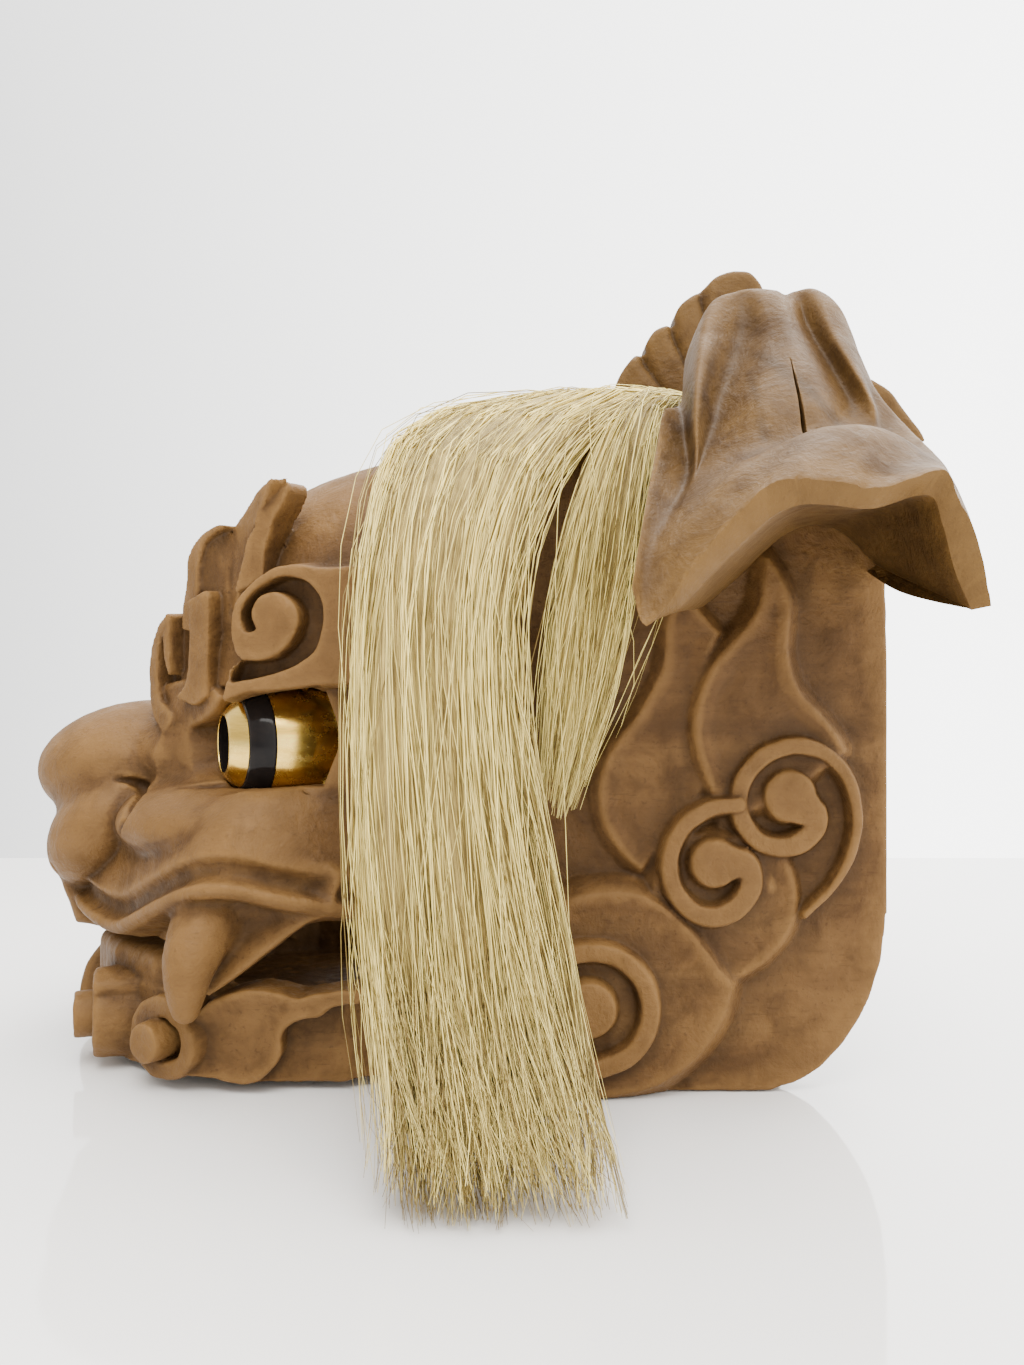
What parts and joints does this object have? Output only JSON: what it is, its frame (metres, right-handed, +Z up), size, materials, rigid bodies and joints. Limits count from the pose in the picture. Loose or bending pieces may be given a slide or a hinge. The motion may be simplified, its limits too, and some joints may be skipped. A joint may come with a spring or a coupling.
{
  "type": "lion dance mask",
  "caption": "Carved wooden lion dance head with a hinged lower jaw, drooping ears, a notched crest, gilt eyes and a horsehair mane.",
  "frame": {"origin": "on the table under the head, in the middle of its box", "axes": "+Z up, -Y the way the lion looks, +X its left side"},
  "size_m": [0.3634, 0.3426, 0.296],
  "materials": {
    "brown_wood": "bare oiled wood, satin",
    "tan_wood": "bare oiled wood, satin, lighter",
    "gilding": "polished gilt with a black lacquered ring",
    "horsehair": "straight pale blond horsehair"
  },
  "bodies": {
    "head": {"head": "brown_wood", "crest": "tan_wood", "ear_left": "tan_wood", "ear_right": "tan_wood", "eye_left": "gilding", "eye_right": "gilding", "hair_left": "horsehair", "hair_right": "horsehair"},
    "jaw": {"jaw": "brown_wood"}
  },
  "joints": [
    {"name": "jaw_hinge", "type": "hinge", "parent": "head", "child": "jaw", "pos_m": [0, 0.03632, 0.032], "axis": [1, 0, 0], "range_deg": [0, 28]}
  ]
}
